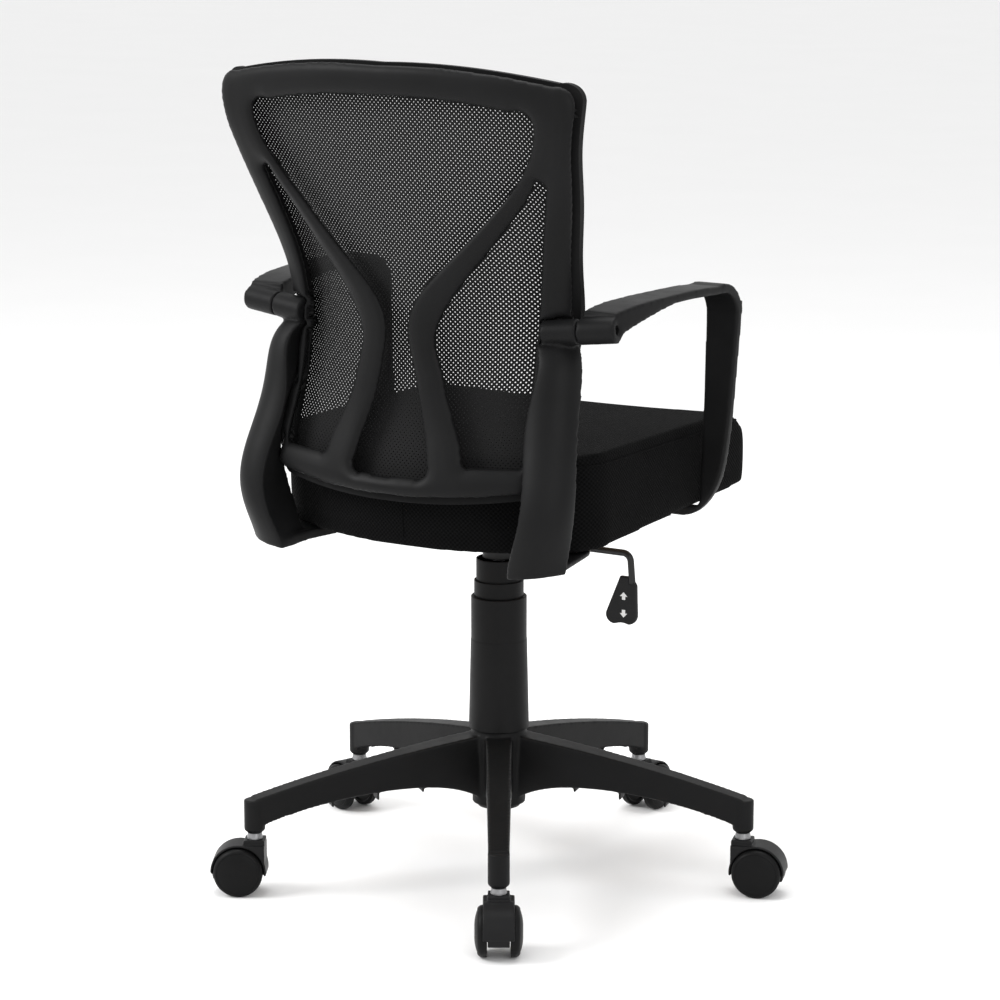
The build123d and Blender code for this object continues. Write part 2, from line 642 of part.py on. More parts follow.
with BuildPart() as board_blank:
    add(seat_plan(BOARD_INSET))
    extrude(amount=200)
    with BuildSketch(UNDERSIDE):
        Rectangle(600, 600)
    extrude(amount=BOARD_T, mode=Mode.INTERSECT)

with BuildPart() as seat_board:
    add(board_blank.part)
    add(shanks_left, mode=Mode.SUBTRACT)
    add(shanks_right, mode=Mode.SUBTRACT)
write(seat_board.part, "seat_board")

with BuildPart() as seat_cushion:
    # Side view: level top, underside rising forwards, rolled front edge
    with BuildSketch(Plane.YZ):
        with BuildLine():
            Line((SEAT_REAR, SEAT_BOTTOM - SLOPE * SEAT_REAR), (SEAT_REAR, SEAT_TOP_SIDE - 26))
            ThreePointArc(
                (SEAT_REAR, SEAT_TOP_SIDE - 26), (SEAT_REAR - 8, SEAT_TOP_SIDE - 8),
                (SEAT_REAR - 28, SEAT_TOP_SIDE)
            )
            Line((SEAT_REAR - 28, SEAT_TOP_SIDE), (SEAT_FRONT + 96, SEAT_TOP_SIDE))
            ThreePointArc(
                (SEAT_FRONT + 96, SEAT_TOP_SIDE), (SEAT_FRONT + 26, SEAT_TOP_SIDE - 17),
                (SEAT_FRONT, SEAT_TOP_SIDE - 54)
            )
            ThreePointArc(
                (SEAT_FRONT, SEAT_TOP_SIDE - 54), (SEAT_FRONT - 4, SEAT_TOP_SIDE - 70),
                (SEAT_FRONT, SEAT_TOP_SIDE - 84)
            )
            Line((SEAT_FRONT, SEAT_TOP_SIDE - 84), (SEAT_FRONT, SEAT_BOTTOM - SLOPE * SEAT_FRONT))
            Line((SEAT_FRONT, SEAT_BOTTOM - SLOPE * SEAT_FRONT), (SEAT_REAR, SEAT_BOTTOM - SLOPE * SEAT_REAR))
        make_face()
    extrude(amount=SEAT_HALF_W, both=True)
    add(extrude(seat_plan(0), amount=220, mode=Mode.PRIVATE), mode=Mode.INTERSECT)
    # Shallow dish across the width
    with BuildSketch(Plane.XZ):
        with BuildLine():
            ThreePointArc((-260, SEAT_TOP_SIDE + 4), (0, SEAT_TOP_MID), (260, SEAT_TOP_SIDE + 4))
            Polyline((260, SEAT_TOP_SIDE + 4), (260, 640), (-260, 640), (-260, SEAT_TOP_SIDE + 4))
        make_face()
    extrude(amount=300, both=True, mode=Mode.SUBTRACT)
    add(board_blank.part, mode=Mode.SUBTRACT)
write(seat_cushion.part, "seat_cushion")


# ---------------------------------------------------------------- back
def back_point(section, across, inward):
    """Point on a cross-section of the back: across is its distance from the middle, inward how far
    it lies in front of the rear surface, square to it."""
    height, depth, sweep_forward, turn_back = section
    radius = (SWEEP_X**2 + sweep_forward**2) / (2 * sweep_forward)
    chord = sqrt(radius**2 - across**2)
    stile = max(abs(across) - STILE_X, 0)
    slope = -across / chord + 2 * turn_back * stile * (1 if across > 0 else -1)
    length = sqrt(1 + slope**2)
    rear_y = depth - radius + chord + turn_back * stile**2
    return (across + inward * slope / length, rear_y - inward / length)


def back_slice(section, front, thickness):
    """Horizontal slice of a layer of the back, front being how far its rear face lies inward."""
    reaches = [BACK_REACH * (2 * step / BACK_STEPS - 1) for step in range(BACK_STEPS + 1)]
    rear = [back_point(section, across, front) for across in reaches]
    face = [back_point(section, across, front + thickness) for across in reaches]
    with BuildSketch(Plane.XY.offset(section[0]), mode=Mode.PRIVATE) as slice_:
        with BuildLine():
            Spline(*rear)
            Line(rear[-1], face[-1])
            Spline(*face)
            Line(face[0], rear[0])
        make_face()
    return slice_.sketch.face()


def back_shell(front, thickness):
    """The curved shell of the back, before it is trimmed to its outline."""
    return loft([back_slice(section, front, thickness) for section in BACK_SECTIONS], mode=Mode.PRIVATE)


def outline(grow, drop):
    """Outline of the back seen from behind; drop lowers the bottom edge."""
    with BuildSketch(Plane.XZ, mode=Mode.PRIVATE) as sketch:
        with BuildLine():
            ThreePointArc((0, 972 + grow), (110, 969.5 + grow), (206, 956 + grow))
            ThreePointArc((206, 956 + grow), (224 + grow, 950.5 + grow), (230 + grow, 934))
            Spline(
                (230 + grow, 934), (222 + grow, 884), (209 + grow, 822), (194 + grow, 762), (185 + grow, 693),
                (180 + grow, 620), (176 + grow, 545), tangents=((-0.05, -1), (-0.05, -1)),
            )
            ThreePointArc((176 + grow, 545), (171 + grow, 519 - drop / 2), (157, 508 - drop))
            ThreePointArc((157, 508 - drop), (80, 499.2 - drop), (0, 496.5 - drop))
            mirror(about=Plane.YZ)
        make_face()
    return sketch.sketch


with BuildPart() as back_frame:
    add(back_shell(0, FRAME_T))
    add(extrude(outline(0, 0), amount=330, both=True, mode=Mode.PRIVATE), mode=Mode.INTERSECT)
    # Middle window: wide at the top, narrow at the waist, widening again to the rail
    with BuildSketch(Plane.XZ):
        with BuildLine():
            ThreePointArc((0, 937), (85, 934), (158, 924.5))
            ThreePointArc((158, 924.5), (177, 921), (181, 908))
            Spline(
                (181, 908), (166, 866), (119, 810), (60, 752), (24, 713), (13, 684), (18, 645),
                (27, 605), (38, 568),
                (47, 533), tangents=((-0.1, -1), (0.22, -1)),
            )
            ThreePointArc((47, 533), (46, 522), (35, 519))
            Line((35, 519), (0, 518))
            mirror(about=Plane.YZ)
        make_face()
    extrude(amount=330, both=True, mode=Mode.SUBTRACT)
    # Side windows
    with BuildSketch(Plane.XZ):
        with BuildLine():
            Spline(
                (172, 843), (146, 808), (105, 759), (59, 699), (49, 668), (56, 638), (64, 606),
                (79, 572), (90, 542),
                tangents=((-0.5, -0.85), (0.3, -1)),
            )
            ThreePointArc((90, 542), (92, 536), (98, 534.5))
            Line((98, 534.5), (150, 536.5))
            ThreePointArc((150, 536.5), (155.5, 538.5), (157, 544))
            Spline(
                (157, 544), (151.5, 609), (151.5, 650), (154, 700), (159, 742), (169, 790), (182, 840),
                tangents=((-0.06, 1), (0.25, 1)),
            )
            ThreePointArc((182, 840), (178, 849), (172, 843))
        make_face()
        mirror(about=Plane.YZ)
    extrude(amount=330, both=True, mode=Mode.SUBTRACT)

with BuildPart() as mesh_frame:
    add(back_shell(FRAME_T + GAP, RIM_T))
    add(extrude(outline(1.5, 8), amount=330, both=True, mode=Mode.PRIVATE), mode=Mode.INTERSECT)
    with BuildSketch(Plane.XZ):
        with BuildLine():
            ThreePointArc((0, 950), (100, 947), (196, 937))
            Spline((196, 937), (205, 905), (190, 830), (172, 750), (163, 680), (160, 610), (158, 528))
            ThreePointArc((158, 528), (80, 514), (0, 510))
            mirror(about=Plane.YZ)
        make_face()
    extrude(amount=330, both=True, mode=Mode.SUBTRACT)

with BuildPart() as back_mesh:
    add(back_shell(FRAME_T + RIM_T + 2 * GAP, MESH_T))
    add(extrude(outline(1.5, 8), amount=330, both=True, mode=Mode.PRIVATE), mode=Mode.INTERSECT)
write(back_mesh.part, "back_mesh")


# ---------------------------------------------------------------- back brackets
# Cross-sections of the left bracket: height, then inner-rear corner, bulge, outer-front corner
# and inner-front corner in plan
BRACKET_SECTIONS = [
    (668, (155, 177), (178, 171), (190, 140), (155, 163)),
    (603, (160, 200), (196, 191), (207, 165), (160, 184)),
    (540, (165, 221), (203, 214), (214, 184), (165, 203)),
    (500, (170, 234), (207, 226), (217, 193), (172, 186)),
    (455, (161, 236), (198, 227), (213, 196), (163, 177)),
    (412, (149, 226), (188, 217), (207, 196), (151, 177)),
]
# Its foot: distance to the rear, inner and outer edge, and top
BRACKET_FOOT = [
    (219, 149, 186, 427), (195, 146, 203, 429.5), (120, 124, 193, 433), (88, 110, 176, 436),
    (64, 104, 150, 437.4),
]
FOOT_T = 10.0
TUBE_PLANE = Plane(
    origin=(SEAM_X, TUBE_AXIS_Y, TUBE_AXIS_Z), x_dir=(0, 1, 0),
    z_dir=(
        cos(radians(TUBE_RISE)) * cos(radians(TUBE_SWEEP)),
        -cos(radians(TUBE_RISE)) * sin(radians(TUBE_SWEEP)),
        sin(radians(TUBE_RISE)),
    ),
)

with BuildPart() as bracket_left:
    for height, inner_rear, bulge, outer_front, inner_front in BRACKET_SECTIONS:
        with BuildSketch(Plane.XY.offset(height)):
            with BuildLine():
                ThreePointArc(inner_rear, bulge, outer_front)
                Line(outer_front, inner_front)
                Line(inner_front, inner_rear)
            make_face()
    loft()
    # The bottom slopes up outwards
    with BuildSketch(Plane.XZ):
        with BuildLine():
            Polyline((140, 400), (240, 400), (240, 430), (206, 422), (140, 413.5), close=True)
        make_face()
    extrude(amount=-260, mode=Mode.SUBTRACT)
    # Foot, under the seat
    for foot_y, inner_x, outer_x, foot_top in BRACKET_FOOT:
        with BuildSketch(Plane.XZ.offset(-foot_y)):
            with BuildLine():
                Polyline(
                    (inner_x, foot_top - FOOT_T - 2), (outer_x - 6, foot_top - FOOT_T + 1),
                    (outer_x, foot_top - FOOT_T + 5),
                    (outer_x, foot_top), (inner_x, foot_top), close=True,
                )
            make_face()
    loft(ruled=True)
    # Stub that the arm is bolted to
    with BuildSketch(TUBE_PLANE):
        Circle(ARM_TUBE_R)
    extrude(amount=-42)
    with BuildSketch(TUBE_PLANE):
        Circle(ARM_BOLT_R)
    extrude(amount=-ARM_BOLT_BITE, mode=Mode.SUBTRACT)
    add(shanks_left, mode=Mode.SUBTRACT)
bracket_right = mirror(bracket_left.part, about=Plane.YZ)
write(bracket_left.part, "bracket_left")
write(bracket_right, "bracket_right")

for layer, label in ((back_frame, "back_frame"), (mesh_frame, "mesh_frame")):
    with BuildPart() as trimmed:
        add(layer.part)
        add(bracket_left.part, mode=Mode.SUBTRACT)
        add(bracket_right, mode=Mode.SUBTRACT)
    write(trimmed.part.solids().sort_by(SortBy.VOLUME)[-1], label)


# ---------------------------------------------------------------- arms
COLLAR_END = 45.0               # along the tube from the seam
with BuildPart() as arm_left:
    # Arm rest: tapers from the tube to the front corner
    with BuildSketch(Plane.YZ):
        with BuildLine():
            Spline(
                (150, 707), (124, 711), (80, 714), (20, 715), (-55, 712.5),
                tangents=((-1, 0.16), (-1, -0.08)),
            )
            ThreePointArc((-55, 712.5), (-94, 704), (LEG_FRONT_Y, 676))
            Line((LEG_FRONT_Y, 676), (LEG_REAR_Y, 676))
            ThreePointArc((LEG_REAR_Y, 676), (-86, 696), (-60, 703))
            Spline(
                (-60, 703), (0, 705), (41, 704.5), (79, 698.5), (124, 687.5), (150, 678.5),
                tangents=((1, 0.05), (1, -0.4)),
            )
            Line((150, 678.5), (150, 707))
        make_face()
    extrude(amount=300)
    with BuildSketch(Plane.XY.offset(660)):
        with BuildLine():
            Spline((SEAM_X, 158), (204, 110), (213, 40), (218, -60), (218, -130))
            Line((218, -130), (260, -130))
            Spline((260, -130), (260, -60), (257, 20), (251, 100), (ARM_END_X, 150))
            Line((ARM_END_X, 150), (SEAM_X, 158))
        make_face()
    extrude(amount=80, mode=Mode.INTERSECT)
    # Front leg, curving in under the seat
    with BuildSketch(Plane.XZ.offset(-LEG_REAR_Y)):
        with BuildLine():
            Spline(
                (260, 690), (256.5, 632), (252, 575), (244, 508), (237, 479), (226, 458), (210, 441),
                (190, 433.5),
                tangents=((0, -1), (-1, -0.1)),
            )
            Polyline((190, 433.5), (128, 433.5), (128, 446), (206, 446.2))
            ThreePointArc((206, 446.2), (210.3, 449), (212, 457))
            Spline((212, 457), (214, 500), (216, 560), (218, 640), (218, 690))
            Line((218, 690), (260, 690))
        make_face()
    extrude(amount=-(LEG_FRONT_Y - LEG_REAR_Y))
    # Collar on the bracket's stub
    with BuildSketch(TUBE_PLANE.offset(0.4)):
        Circle(ARM_TUBE_R)
    extrude(amount=COLLAR_END - 0.4)
    with BuildSketch(TUBE_PLANE.offset(COLLAR_END)):
        Circle(ARM_BOLT_HEAD_R)
    extrude(amount=-ARM_BOLT_SINK, mode=Mode.SUBTRACT)
    with BuildSketch(TUBE_PLANE):
        Circle(ARM_BOLT_R)
    extrude(amount=ARM_END_X - SEAM_X, mode=Mode.SUBTRACT)
    add(shanks_left, mode=Mode.SUBTRACT)
write(arm_left.part, "arm_left")
write(mirror(arm_left.part, about=Plane.YZ), "arm_right")

with BuildPart() as arm_bolt:
    with BuildSketch(TUBE_PLANE.offset(-ARM_BOLT_BITE)):
        Circle(ARM_BOLT_R)
    extrude(amount=ARM_BOLT_BITE + COLLAR_END - ARM_BOLT_SINK)
    with BuildSketch(TUBE_PLANE.offset(COLLAR_END - ARM_BOLT_SINK)):
        Circle(ARM_BOLT_HEAD_R - 0.3)
    extrude(amount=5)
    # Hexagon socket
    with BuildSketch(TUBE_PLANE.offset(COLLAR_END - ARM_BOLT_SINK + 5)):
        RegularPolygon(2.9, 6)
    extrude(amount=-3.2, mode=Mode.SUBTRACT)
write(Compound(children=[arm_bolt.part, mirror(arm_bolt.part, about=Plane.YZ)]), "arm_bolts")
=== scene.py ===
"""Looks of the swivel office chair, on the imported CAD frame."""

import json
from math import cos, pi, radians, sin

import bmesh
import bpy
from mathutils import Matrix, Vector, geometry
from mathutils.bvhtree import BVHTree
from mathutils.kdtree import KDTree

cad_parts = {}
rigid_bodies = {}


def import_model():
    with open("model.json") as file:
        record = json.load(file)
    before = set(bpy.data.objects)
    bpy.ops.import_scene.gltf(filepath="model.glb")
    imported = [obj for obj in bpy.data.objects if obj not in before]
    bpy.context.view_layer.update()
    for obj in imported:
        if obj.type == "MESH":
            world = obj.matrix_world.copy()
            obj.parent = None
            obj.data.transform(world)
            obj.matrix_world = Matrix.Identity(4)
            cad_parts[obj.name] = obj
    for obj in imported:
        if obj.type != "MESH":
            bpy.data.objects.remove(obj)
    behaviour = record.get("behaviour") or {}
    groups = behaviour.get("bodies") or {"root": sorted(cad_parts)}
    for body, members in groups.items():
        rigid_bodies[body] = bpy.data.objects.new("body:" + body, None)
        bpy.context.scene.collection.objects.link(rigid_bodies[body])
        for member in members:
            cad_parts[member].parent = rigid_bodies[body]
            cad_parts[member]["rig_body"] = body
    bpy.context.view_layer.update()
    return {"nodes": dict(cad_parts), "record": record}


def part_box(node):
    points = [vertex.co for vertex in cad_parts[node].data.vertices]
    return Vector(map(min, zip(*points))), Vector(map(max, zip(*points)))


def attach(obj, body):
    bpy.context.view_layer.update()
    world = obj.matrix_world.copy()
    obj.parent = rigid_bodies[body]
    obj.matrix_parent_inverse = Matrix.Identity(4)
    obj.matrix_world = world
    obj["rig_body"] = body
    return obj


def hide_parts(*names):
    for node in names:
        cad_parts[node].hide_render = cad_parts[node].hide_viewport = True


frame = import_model()
nodes = frame["nodes"]
MM = 0.001


# ---------------------------------------------------------------- node helpers
class Tree:
    """A material's node tree, built by calls."""

    def __init__(self, name):
        self.material = bpy.data.materials.new(name)
        self.material.use_nodes = True
        self.tree = self.material.node_tree
        self.tree.nodes.clear()
        self.out = self.add("ShaderNodeOutputMaterial")
        self.coords = self.add("ShaderNodeTexCoord").outputs["Object"]

    def add(self, kind, **settings):
        node = self.tree.nodes.new(kind)
        for key, value in settings.items():
            setattr(node, key, value)
        return node

    def link(self, value, socket):
        if isinstance(value, bpy.types.NodeSocket):
            self.tree.links.new(value, socket)
        else:
            socket.default_value = value

    def math(self, operation, a, b=0.0, clamp=False):
        node = self.add("ShaderNodeMath", operation=operation, use_clamp=clamp)
        self.link(a, node.inputs[0])
        self.link(b, node.inputs[1])
        return node.outputs[0]

    def noise(self, scale, detail=2.0, rough=0.5, vector=None):
        node = self.add("ShaderNodeTexNoise")
        self.link(vector or self.coords, node.inputs["Vector"])
        self.link(scale, node.inputs["Scale"])
        self.link(detail, node.inputs["Detail"])
        self.link(rough, node.inputs["Roughness"])
        return node.outputs[0]

    def ramp(self, value, low, high, to_low, to_high):
        node = self.add("ShaderNodeMapRange")
        for socket, v in zip(node.inputs, (value, low, high, to_low, to_high)):
            self.link(v, socket)
        return node.outputs[0]

    def mix(self, factor, a, b):
        node = self.add("ShaderNodeMix", data_type="RGBA")
        self.link(factor, node.inputs[0])
        self.link(a, node.inputs[6])
        self.link(b, node.inputs[7])
        return node.outputs[2]

    def bump(self, height, distance, strength=1.0, normal=None):
        node = self.add("ShaderNodeBump")
        self.link(strength, node.inputs["Strength"])
        self.link(distance, node.inputs["Distance"])
        self.link(height, node.inputs["Height"])
        if normal:
            self.link(normal, node.inputs["Normal"])
        return node.outputs[0]

    def bevel(self, radius):
        node = self.add("ShaderNodeBevel", samples=6)
        node.inputs["Radius"].default_value = radius
        return node.outputs[0]

    def finish(self, color, rough, normal=None, **values):
        shader = self.add("ShaderNodeBsdfPrincipled")
        self.link(color, shader.inputs["Base Color"])
        self.link(rough, shader.inputs["Roughness"])
        if normal:
            self.link(normal, shader.inputs["Normal"])
        for key, value in values.items():
            self.link(value, shader.inputs[key.replace("_", " ")])
        self.link(shader.outputs[0], self.out.inputs["Surface"])
        return self.material


def grey(value, tint=0.0):
    return (value, value, value * (1 + tint), 1.0)


def plastic(name, value, rough, grain=1100.0, depth=0.00006, bevel=0.0):
    """Fine-grained matte moulding, with faint cloudiness and wear in its sheen."""
    t = Tree(name)
    grain_height = t.noise(grain, 3.0, 0.6)
    cloud = t.noise(9.0, 4.0, 0.6)
    scuff = t.noise(60.0, 6.0, 0.7)
    sheen = t.math("ADD", t.ramp(cloud, 0.3, 0.7, -0.05, 0.05), t.ramp(scuff, 0.45, 0.75, 0.0, 0.06))
    normal = t.bump(grain_height, depth, 0.8, t.bevel(bevel) if bevel else None)
    color = t.mix(t.ramp(cloud, 0.3, 0.7, 0.0, 1.0), grey(value * 0.85, 0.02), grey(value * 1.15, 0.04))
    return t.finish(color, t.math("ADD", sheen, rough, True), normal, Specular_IOR_Level=0.09)


def steel(name, value, rough, streak=(400.0, 400.0, 8.0)):
    """Drawn or ground metal with fine streaks."""
    t = Tree(name)
    mapping = t.add("ShaderNodeMapping")
    t.link(t.coords, mapping.inputs["Vector"])
    mapping.inputs["Scale"].default_value = streak
    lines = t.noise(1.0, 4.0, 0.6, mapping.outputs[0])
    color = t.mix(t.ramp(lines, 0.3, 0.7, 0.0, 1.0), grey(value * 0.9, 0.01), grey(value * 1.1, 0.03))
    roughness = t.ramp(lines, 0.2, 0.8, rough - 0.06, rough + 0.08)
    return t.finish(color, roughness, t.bump(lines, 0.00004, 0.5), Metallic=1.0)


def face_plane(t):
    """Two coordinates across whichever way a face looks, for a pattern on all sides of a piece."""
    normal = t.add("ShaderNodeVectorTransform", vector_type="NORMAL", convert_from="WORLD", convert_to="OBJECT")
    t.link(t.add("ShaderNodeNewGeometry").outputs["Normal"], normal.inputs[0])
    n = t.add("ShaderNodeSeparateXYZ")
    t.link(normal.outputs[0], n.inputs[0])
    p = t.add("ShaderNodeSeparateXYZ")
    t.link(t.coords, p.inputs[0])
    nx, ny, nz = (t.math("ABSOLUTE", s) for s in n.outputs)
    upward = t.math("GREATER_THAN", nz, 0.62)
    sideways = t.math("MULTIPLY", t.math("GREATER_THAN", nx, ny), t.math("SUBTRACT", 1.0, upward))

    def choose(factor, a, b):
        return t.math("ADD", t.math("MULTIPLY", factor, b), t.math("MULTIPLY", t.math("SUBTRACT", 1.0, factor), a))

    return choose(sideways, p.outputs[0], p.outputs[1]), choose(upward, p.outputs[2], p.outputs[1])


def seat_cloth():
    """Black sandwich mesh: small eyelets in staggered rows, with painted shade darkening the low dips of the knit,
    and fine yarn.
    """
    t = Tree("seat_cloth")
    u, v = face_plane(t)
    pitch = 2 * pi / 0.0052
    eyelet = t.math("MULTIPLY", t.math("COSINE", t.math("MULTIPLY", u, pitch)), t.math("COSINE", t.math("MULTIPLY", v, pitch)))
    knit = t.ramp(eyelet, -0.9, 0.9, 0.0, 1.0)
    yarn = t.noise(1500.0, 2.0, 0.6)
    lint = t.noise(14.0, 4.0, 0.6)
    # painted shade: the knit's low dips get the darker grey and the raised yarn the lighter; the eyelet pattern
    # itself is the fabric's
    color = t.mix(knit, grey(0.001), grey(0.0045, 0.03))
    color = t.mix(t.ramp(lint, 0.35, 0.75, 0.0, 0.25), color, grey(0.007, 0.02))
    height = t.math("ADD", knit, t.math("MULTIPLY", yarn, 0.35))
    return t.finish(
        color, 0.92, t.bump(height, 0.0007, 0.9), Sheen_Weight=0.01, Sheen_Roughness=0.45, Specular_IOR_Level=0.03
    )


def mesh_cloth():
    """Black knitted yarn of the back."""
    t = Tree("mesh_cloth")
    yarn = t.noise(1800.0, 2.0, 0.6)
    color = t.mix(yarn, grey(0.004), grey(0.01, 0.03))
    return t.finish(color, 0.75, t.bump(yarn, 0.0002, 0.8), Sheen_Weight=0.02, Specular_IOR_Level=0.12)


def plywood():
    t = Tree("plywood")
    mapping = t.add("ShaderNodeMapping")
    t.link(t.coords, mapping.inputs["Vector"])
    mapping.inputs["Scale"].default_value = (6.0, 90.0, 500.0)
    grain = t.noise(1.0, 6.0, 0.6, mapping.outputs[0])
    color = t.mix(grain, (0.30, 0.17, 0.08, 1), (0.55, 0.37, 0.20, 1))
    return t.finish(color, 0.7, t.bump(grain, 0.0002, 0.6))


def enamel(name, value, rough):
    """Black paint on metal, with slight orange peel."""
    t = Tree(name)
    peel = t.noise(260.0, 2.0, 0.5)
    color = t.mix(t.noise(12.0, 3.0), grey(value * 0.85), grey(value * 1.2, 0.03))
    sheen = t.ramp(t.noise(40.0, 4.0), 0.3, 0.8, rough, rough + 0.1)
    return t.finish(color, sheen, t.bump(peel, 0.0001, 0.5, t.bevel(0.0006)), Specular_IOR_Level=0.25)


materials = {
    "moulded_black": plastic("moulded_black", 0.0065, 0.46, bevel=0.0012),
    "back_edge_plastic": plastic("back_edge_plastic", 0.006, 0.55, bevel=0.001),
    "back_mesh": mesh_cloth(),
    "seat_fabric": seat_cloth(),
    "plywood": plywood(),
    "lift_steel": enamel("lift_steel", 0.009, 0.4),
    "housing_steel": enamel("housing_steel", 0.009, 0.45),
    "polished_steel": steel("polished_steel", 0.55, 0.18),
    "pin_steel": steel("pin_steel", 0.42, 0.3),
    "lever_steel": enamel("lever_steel", 0.011, 0.35),
    "lever_plastic": plastic("lever_plastic", 0.013, 0.45, bevel=0.0006),
    "bush_plastic": plastic("bush_plastic", 0.5, 0.5),
    "valve_brass": steel("valve_brass", 0.5, 0.25),
    "seal_rubber": plastic("seal_rubber", 0.008, 0.8),
    "caster_steel": steel("caster_steel", 0.25, 0.35),
    "caster_plastic": plastic("caster_plastic", 0.01, 0.42, bevel=0.0008),
    "wheel_plastic": plastic("wheel_plastic", 0.005, 0.42, bevel=0.0005),
}
slot_of = {s["node"]: s["material_slot"] for s in frame["record"]["subparts"]}
for name, node in nodes.items():
    node.data.materials.clear()
    node.data.materials.append(materials[slot_of[name]])


# ---------------------------------------------------------------- mesh helpers
def new_object(name, mesh, node, body=None):
    """A piece that takes its finish and body from a CAD node."""
    obj = bpy.data.objects.new(name, mesh)
    bpy.context.scene.collection.objects.link(obj)
    mesh.materials.clear()
    mesh.materials.append(materials[slot_of[node]])
    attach(obj, body or nodes[node]["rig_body"])
    return obj


def apply_modifiers(obj):
    depsgraph = bpy.context.evaluated_depsgraph_get()
    mesh = bpy.data.meshes.new_from_object(obj.evaluated_get(depsgraph))
    obj.modifiers.clear()
    obj.data = mesh


def smooth(obj):
    for polygon in obj.data.polygons:
        polygon.use_smooth = True


def soften(node, voxel, rounds, name=None):
    """Stands a moulding with rounded edges in for a CAD node: its own shape, remeshed and eased."""
    obj = new_object(name or f"{node}_moulding", nodes[node].data.copy(), node)
    remesh = obj.modifiers.new("remesh", "REMESH")
    remesh.mode = "VOXEL"
    remesh.voxel_size = voxel
    ease = obj.modifiers.new("ease", "SMOOTH")
    ease.factor = 0.5
    ease.iterations = rounds
    bpy.context.view_layer.update()
    apply_modifiers(obj)
    smooth(obj)
    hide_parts(node)
    return obj


def tree_of(node):
    """Ray-casting tree of a CAD node."""
    mesh = nodes[node].data
    return BVHTree.FromPolygons([v.co for v in mesh.vertices], [p.vertices for p in mesh.polygons])


for side in ("left", "right"):
    soften(f"arm_{side}", 0.002, 6)
    soften(f"bracket_{side}", 0.002, 8)
soften("star_base", 0.0016, 3)
for number in range(1, 6):
    soften(f"caster_hood_{number}", 0.0009, 3)
soften("lever_paddle", 0.0008, 4)


# ---------------------------------------------------------------- back frame
def rear_loops(node):
    """Closed outlines (x, z) of the rear face of an extruded-and-cut CAD node, largest first."""
    bm = bmesh.new()
    bm.from_mesh(nodes[node].data)
    bmesh.ops.remove_doubles(bm, verts=bm.verts, dist=2e-5)
    bm.normal_update()
    rear = {f for f in bm.faces if f.normal.y > 0.25}
    edges = [e for e in bm.edges if sum(f in rear for f in e.link_faces) == 1]
    joined = {}
    for e in edges:
        for v in e.verts:
            joined.setdefault(v, []).append(e)
    loops = []
    left = set(edges)
    while left:
        start = left.pop()
        loop = [start.verts[0], start.verts[1]]
        while True:
            following = [e for e in joined[loop[-1]] if e in left]
            if not following:
                break
            e = following[0]
            left.discard(e)
            loop.append(e.other_vert(loop[-1]))
        if loop[0] == loop[-1]:
            loop.pop()
            loops.append([(v.co.x, v.co.z) for v in loop])
    bm.free()

    def area(loop):
        return abs(sum(a[0] * b[1] - b[0] * a[1] for a, b in zip(loop, loop[1:] + loop[:1]))) / 2

    return sorted((l for l in loops if area(l) > 2e-4), key=area, reverse=True)


def resample(loop, step):
    """The same closed outline with evenly spaced points."""
    points = [Vector(p) for p in loop]
    out = []
    for a, b in zip(points, points[1:] + points[:1]):
        count = max(1, round((b - a).length / step))
        out += [a.lerp(b, i / count) for i in range(count)]
    return out


def inside(p, loop):
    hit = False
    for (ax, az), (bx, bz) in zip(loop, loop[1:] + loop[:1]):
        if (az > p[1]) != (bz > p[1]) and p[0] < (bx - ax) * (p[1] - az) / (bz - az) + ax:
            hit = not hit
    return hit


ROUND = [(1, 0), (-1, 0), (0, 1), (0, -1), (0.7, 0.7), (-0.7, -0.7), (0.7, -0.7), (-0.7, 0.7)]


def rear_surface(tree):
    """Depth of the rear face at (x, z), taken just beside the point where that lies on the face's edge."""

    def depth(x, z):
        for reach in (0, 0.0007, 0.0015, 0.003):
            met = []
            for right, up in ROUND:
                start = Vector((x + right * reach, 1.0, z + up * reach))
                place, normal, _, _ = tree.ray_cast(start, Vector((0, -1, 0)))
                if place and normal.y > 0.25:
                    met.append(place.y)
            if met:
                return sum(met) / len(met)
        return tree.find_nearest(Vector((x, 0.3, z)))[0].y

    return depth


EDGE_REACH = 0.0085     # the chamfer along every edge of the frame
EDGE_DROP = 0.0042
RIDGE_DROP = 0.0022     # and the fall from each rib's ridge line to its edges


